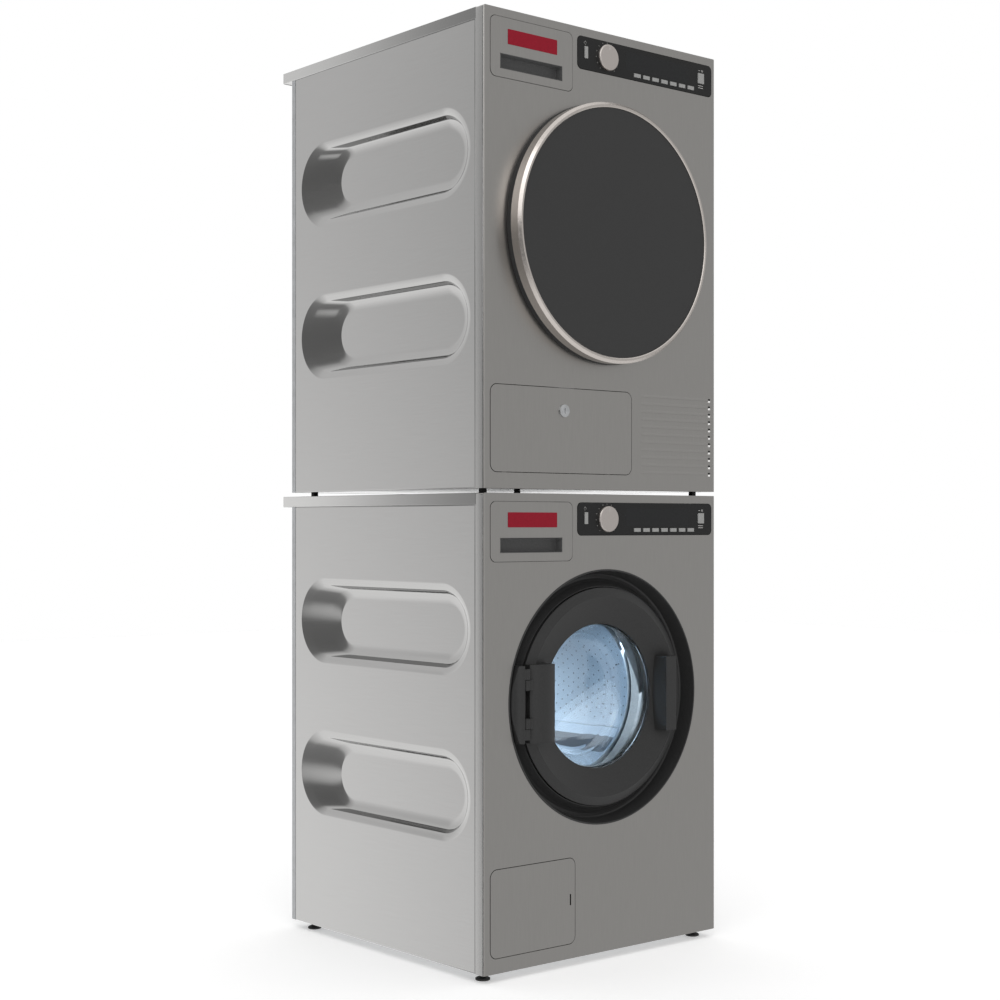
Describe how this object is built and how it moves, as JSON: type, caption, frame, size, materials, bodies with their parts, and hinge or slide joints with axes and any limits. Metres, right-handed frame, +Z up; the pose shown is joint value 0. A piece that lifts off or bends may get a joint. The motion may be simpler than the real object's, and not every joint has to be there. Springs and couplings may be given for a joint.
{
  "type": "washer dryer stack",
  "caption": "Front-loading washing machine with a matching tumble dryer standing on it, in brushed stainless steel, with opening doors, drawers and hatches.",
  "frame": {"origin": "on the floor under the middle of the stack's bounding box", "axes": "+X to the viewer's right, +Y to the back, +Z up; the fronts face -Y"},
  "size_m": [0.59, 0.675, 1.728],
  "materials": {
    "stainless_front": "vertical-grain brushed stainless steel with a light mottle",
    "stainless_side": "fine brushed stainless steel, polished on the pressed walls",
    "galvanised": "galvanised sheet",
    "black_plastic": "satin black moulding",
    "black_rubber": "matt black rubber",
    "grey_rubber": "matt grey rubber",
    "fascia_black": "smooth black panel",
    "key_grey": "satin light grey",
    "knob_metal": "satin warm grey metal",
    "ring_metal": "polished warm steel",
    "smoked_disc": "dark satin disc",
    "door_glass": "clear pressed glass",
    "drum_steel": "bright perforated stainless steel",
    "white_plastic": "natural white moulding",
    "grey_plastic": "grey filled plastic",
    "motor_metal": "painted motor casing",
    "concrete": "cast counterweight",
    "zinc": "zinc plated steel"
  },
  "bodies": {
    "cabinets": {"side_panels": "stainless_side", "worktops": "stainless_side", "feet": "black_rubber", "washer_frame": "galvanised", "washer_front_panel": "stainless_front", "washer_back_panel": "galvanised", "washer_fascia": "fascia_black", "washer_dispenser": "white_plastic", "washer_door_bezel": "black_plastic", "washer_door_hinge": "black_plastic", "washer_gasket": "grey_rubber", "washer_tub": "grey_plastic", "washer_belt": "black_rubber", "washer_motor": "motor_metal", "washer_suspension": "zinc", "washer_counterweight": "concrete", "washer_pump": "white_plastic", "dryer_frame": "galvanised", "dryer_front_panel": "stainless_front", "dryer_back_panel": "galvanised", "dryer_fascia": "fascia_black", "dryer_door_hinge": "zinc", "dryer_belt": "black_rubber", "dryer_motor": "motor_metal", "dryer_heat_exchanger": "zinc"},
    "washer_door": {"washer_door_frame": "black_plastic", "washer_door_glass": "door_glass"},
    "washer_detergent_drawer": {"washer_drawer": "stainless_front"},
    "washer_drum_set": {"washer_drum": "drum_steel", "washer_drum_pulley": "motor_metal"},
    "washer_motor_shaft": {"washer_motor_pulley": "zinc"},
    "washer_service_hatch": {"washer_hatch": "stainless_front"},
    "washer_selector": {"washer_knob": "knob_metal"},
    "dryer_door": {"dryer_door_disc": "smoked_disc", "dryer_door_ring": "ring_metal", "dryer_door_liner": "black_plastic"},
    "dryer_water_tank": {"dryer_tank_drawer": "stainless_front"},
    "dryer_drum_set": {"dryer_drum": "drum_steel"},
    "dryer_motor_shaft": {"dryer_motor_pulley": "zinc"},
    "dryer_service_hatch": {"dryer_hatch": "stainless_front"},
    "dryer_lock": {"dryer_hatch_lock": "zinc"},
    "dryer_selector": {"dryer_knob": "knob_metal"},
    "washer_power_key_cap": {"washer_power_key": "key_grey"},
    "washer_start_key_cap": {"washer_start_key": "key_grey"},
    "washer_option_key_1_cap": {"washer_option_key_1": "key_grey"},
    "washer_option_key_2_cap": {"washer_option_key_2": "key_grey"},
    "washer_option_key_3_cap": {"washer_option_key_3": "key_grey"},
    "washer_option_key_4_cap": {"washer_option_key_4": "key_grey"},
    "washer_option_key_5_cap": {"washer_option_key_5": "key_grey"},
    "washer_option_key_6_cap": {"washer_option_key_6": "key_grey"},
    "washer_option_key_7_cap": {"washer_option_key_7": "key_grey"},
    "dryer_power_key_cap": {"dryer_power_key": "key_grey"},
    "dryer_start_key_cap": {"dryer_start_key": "key_grey"},
    "dryer_option_key_1_cap": {"dryer_option_key_1": "key_grey"},
    "dryer_option_key_2_cap": {"dryer_option_key_2": "key_grey"},
    "dryer_option_key_3_cap": {"dryer_option_key_3": "key_grey"},
    "dryer_option_key_4_cap": {"dryer_option_key_4": "key_grey"},
    "dryer_option_key_5_cap": {"dryer_option_key_5": "key_grey"},
    "dryer_option_key_6_cap": {"dryer_option_key_6": "key_grey"},
    "dryer_option_key_7_cap": {"dryer_option_key_7": "key_grey"}
  },
  "joints": [
    {"name": "washer_door_swing", "type": "hinge", "parent": "cabinets", "child": "washer_door", "pos_m": [-0.202, -0.3115, 0.491], "axis": [0, 0, -1], "range_deg": [0, 100]},
    {"name": "washer_drawer_slide", "type": "slide", "parent": "cabinets", "child": "washer_detergent_drawer", "axis": [0, -1, 0], "range_m": [0, 0.19]},
    {"name": "washer_drum_spin", "type": "hinge", "parent": "cabinets", "child": "washer_drum_set", "pos_m": [0, -0.0035, 0.491], "axis": [0, 1, 0], "continuous": true},
    {"name": "washer_motor_spin", "type": "hinge", "parent": "cabinets", "child": "washer_motor_shaft", "pos_m": [0.06, 0.1965, 0.143], "axis": [0, 1, 0], "continuous": true},
    {"name": "washer_hatch_swing", "type": "hinge", "parent": "cabinets", "child": "washer_service_hatch", "pos_m": [-0.2845, -0.2999, 0.1155], "axis": [0, 0, -1], "range_deg": [0, 100]},
    {"name": "washer_knob_turn", "type": "hinge", "parent": "cabinets", "child": "washer_selector", "pos_m": [0.003, -0.3035, 0.822], "axis": [0, 1, 0], "continuous": true},
    {"name": "dryer_door_swing", "type": "hinge", "parent": "cabinets", "child": "dryer_door", "pos_m": [0.245, -0.3095, 1.351], "axis": [0, 0, 1], "range_deg": [0, 110]},
    {"name": "dryer_tank_slide", "type": "slide", "parent": "cabinets", "child": "dryer_water_tank", "axis": [0, -1, 0], "range_m": [0, 0.19]},
    {"name": "dryer_drum_spin", "type": "hinge", "parent": "cabinets", "child": "dryer_drum_set", "pos_m": [0, -0.0035, 1.351], "axis": [0, 1, 0], "continuous": true},
    {"name": "dryer_motor_spin", "type": "hinge", "parent": "cabinets", "child": "dryer_motor_shaft", "pos_m": [0.17, 0.0965, 0.978], "axis": [0, 1, 0], "continuous": true},
    {"name": "dryer_hatch_swing", "type": "hinge", "parent": "cabinets", "child": "dryer_service_hatch", "pos_m": [-0.106, -0.2999, 0.9005], "axis": [1, 0, 0], "range_deg": [0, 90]},
    {"name": "dryer_lock_turn", "type": "hinge", "parent": "dryer_service_hatch", "child": "dryer_lock", "pos_m": [-0.1046, -0.3035, 1.0194], "axis": [0, 1, 0], "range_deg": [0, 90]},
    {"name": "dryer_knob_turn", "type": "hinge", "parent": "cabinets", "child": "dryer_selector", "pos_m": [0.003, -0.3035, 1.682], "axis": [0, 1, 0], "continuous": true},
    {"name": "washer_power_key_press", "type": "slide", "parent": "cabinets", "child": "washer_power_key_cap", "axis": [0, 1, 0], "range_m": [0, 0.0012], "stiffness_N_per_m": 300, "springref_m": -0.0004},
    {"name": "washer_start_key_press", "type": "slide", "parent": "cabinets", "child": "washer_start_key_cap", "axis": [0, 1, 0], "range_m": [0, 0.0012], "stiffness_N_per_m": 300, "springref_m": -0.0004},
    {"name": "washer_option_key_1_press", "type": "slide", "parent": "cabinets", "child": "washer_option_key_1_cap", "axis": [0, 1, 0], "range_m": [0, 0.0012], "stiffness_N_per_m": 300, "springref_m": -0.0004},
    {"name": "washer_option_key_2_press", "type": "slide", "parent": "cabinets", "child": "washer_option_key_2_cap", "axis": [0, 1, 0], "range_m": [0, 0.0012], "stiffness_N_per_m": 300, "springref_m": -0.0004},
    {"name": "washer_option_key_3_press", "type": "slide", "parent": "cabinets", "child": "washer_option_key_3_cap", "axis": [0, 1, 0], "range_m": [0, 0.0012], "stiffness_N_per_m": 300, "springref_m": -0.0004},
    {"name": "washer_option_key_4_press", "type": "slide", "parent": "cabinets", "child": "washer_option_key_4_cap", "axis": [0, 1, 0], "range_m": [0, 0.0012], "stiffness_N_per_m": 300, "springref_m": -0.0004},
    {"name": "washer_option_key_5_press", "type": "slide", "parent": "cabinets", "child": "washer_option_key_5_cap", "axis": [0, 1, 0], "range_m": [0, 0.0012], "stiffness_N_per_m": 300, "springref_m": -0.0004},
    {"name": "washer_option_key_6_press", "type": "slide", "parent": "cabinets", "child": "washer_option_key_6_cap", "axis": [0, 1, 0], "range_m": [0, 0.0012], "stiffness_N_per_m": 300, "springref_m": -0.0004},
    {"name": "washer_option_key_7_press", "type": "slide", "parent": "cabinets", "child": "washer_option_key_7_cap", "axis": [0, 1, 0], "range_m": [0, 0.0012], "stiffness_N_per_m": 300, "springref_m": -0.0004},
    {"name": "dryer_power_key_press", "type": "slide", "parent": "cabinets", "child": "dryer_power_key_cap", "axis": [0, 1, 0], "range_m": [0, 0.0012], "stiffness_N_per_m": 300, "springref_m": -0.0004},
    {"name": "dryer_start_key_press", "type": "slide", "parent": "cabinets", "child": "dryer_start_key_cap", "axis": [0, 1, 0], "range_m": [0, 0.0012], "stiffness_N_per_m": 300, "springref_m": -0.0004},
    {"name": "dryer_option_key_1_press", "type": "slide", "parent": "cabinets", "child": "dryer_option_key_1_cap", "axis": [0, 1, 0], "range_m": [0, 0.0012], "stiffness_N_per_m": 300, "springref_m": -0.0004},
    {"name": "dryer_option_key_2_press", "type": "slide", "parent": "cabinets", "child": "dryer_option_key_2_cap", "axis": [0, 1, 0], "range_m": [0, 0.0012], "stiffness_N_per_m": 300, "springref_m": -0.0004},
    {"name": "dryer_option_key_3_press", "type": "slide", "parent": "cabinets", "child": "dryer_option_key_3_cap", "axis": [0, 1, 0], "range_m": [0, 0.0012], "stiffness_N_per_m": 300, "springref_m": -0.0004},
    {"name": "dryer_option_key_4_press", "type": "slide", "parent": "cabinets", "child": "dryer_option_key_4_cap", "axis": [0, 1, 0], "range_m": [0, 0.0012], "stiffness_N_per_m": 300, "springref_m": -0.0004},
    {"name": "dryer_option_key_5_press", "type": "slide", "parent": "cabinets", "child": "dryer_option_key_5_cap", "axis": [0, 1, 0], "range_m": [0, 0.0012], "stiffness_N_per_m": 300, "springref_m": -0.0004},
    {"name": "dryer_option_key_6_press", "type": "slide", "parent": "cabinets", "child": "dryer_option_key_6_cap", "axis": [0, 1, 0], "range_m": [0, 0.0012], "stiffness_N_per_m": 300, "springref_m": -0.0004},
    {"name": "dryer_option_key_7_press", "type": "slide", "parent": "cabinets", "child": "dryer_option_key_7_cap", "axis": [0, 1, 0], "range_m": [0, 0.0012], "stiffness_N_per_m": 300, "springref_m": -0.0004}
  ],
  "couplings": [
    {"joint": "washer_motor_spin", "follows": "washer_drum_spin", "ratio": 7},
    {"joint": "dryer_motor_spin", "follows": "dryer_drum_spin", "ratio": 21.25}
  ]
}
